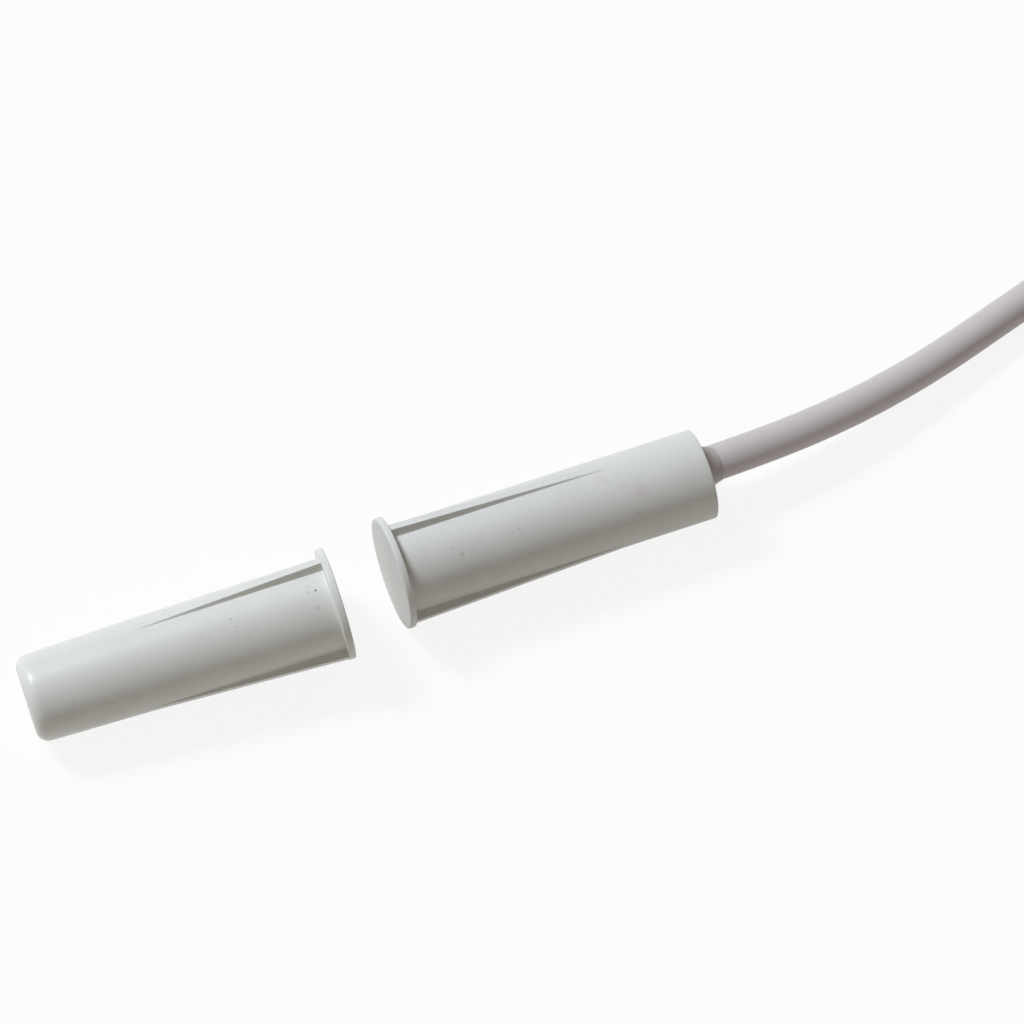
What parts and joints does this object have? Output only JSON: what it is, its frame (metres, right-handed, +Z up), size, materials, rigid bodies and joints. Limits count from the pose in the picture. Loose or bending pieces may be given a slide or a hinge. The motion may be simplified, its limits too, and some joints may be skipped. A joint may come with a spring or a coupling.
{
  "type": "recessed magnetic contact",
  "caption": "Recessed magnetic door contact: a flanged, ribbed plastic magnet thimble and a matching reed switch thimble whose round cable leaves its resin-sealed rear.",
  "frame": {"origin": "on the surface that both halves lie on, under the middle of the pair without its cable", "axes": "+X from the magnet half to the switch half, along the switch half; +Y to the back; +Z up"},
  "size_m": [0.1421, 0.046, 0.0163],
  "materials": {
    "housing_plastic": "satin pale grey moulded ABS",
    "cap_plastic": "satin pale grey moulded ABS",
    "magnet_alloy": "bare cast magnet alloy",
    "glue": "set epoxy glue",
    "board_laminate": "glass fibre laminate with green resist",
    "copper": "bare copper",
    "reed_glass": "thin greenish glass",
    "reed_metal": "nickel iron strip",
    "solder": "bright solder",
    "potting": "grey set resin",
    "cable_sheath": "satin grey PVC",
    "core_white": "white PVC",
    "core_brown": "brown PVC",
    "core_green": "green PVC",
    "core_yellow": "yellow PVC",
    "tinned_copper": "tinned copper strands"
  },
  "bodies": {
    "root": {"magnet_housing": "housing_plastic", "magnet_cap": "cap_plastic", "bar_magnet": "magnet_alloy", "magnet_glue": "glue", "switch_housing": "housing_plastic", "circuit_board": "board_laminate", "board_tracks": "copper", "reed_glass": "reed_glass", "reed_blade_front": "reed_metal", "reed_blade_rear": "reed_metal", "solder_joints": "solder", "bare_wires": "copper", "core_white": "core_white", "core_brown": "core_brown", "core_green": "core_green", "core_yellow": "core_yellow", "potting_resin": "potting", "cable": "cable_sheath", "cable_coil": "cable_sheath", "cable_end": "cable_sheath", "tail_white": "core_white", "tail_brown": "core_brown", "tail_green": "core_green", "tail_yellow": "core_yellow", "tinned_ends": "tinned_copper"}
  },
  "joints": []
}
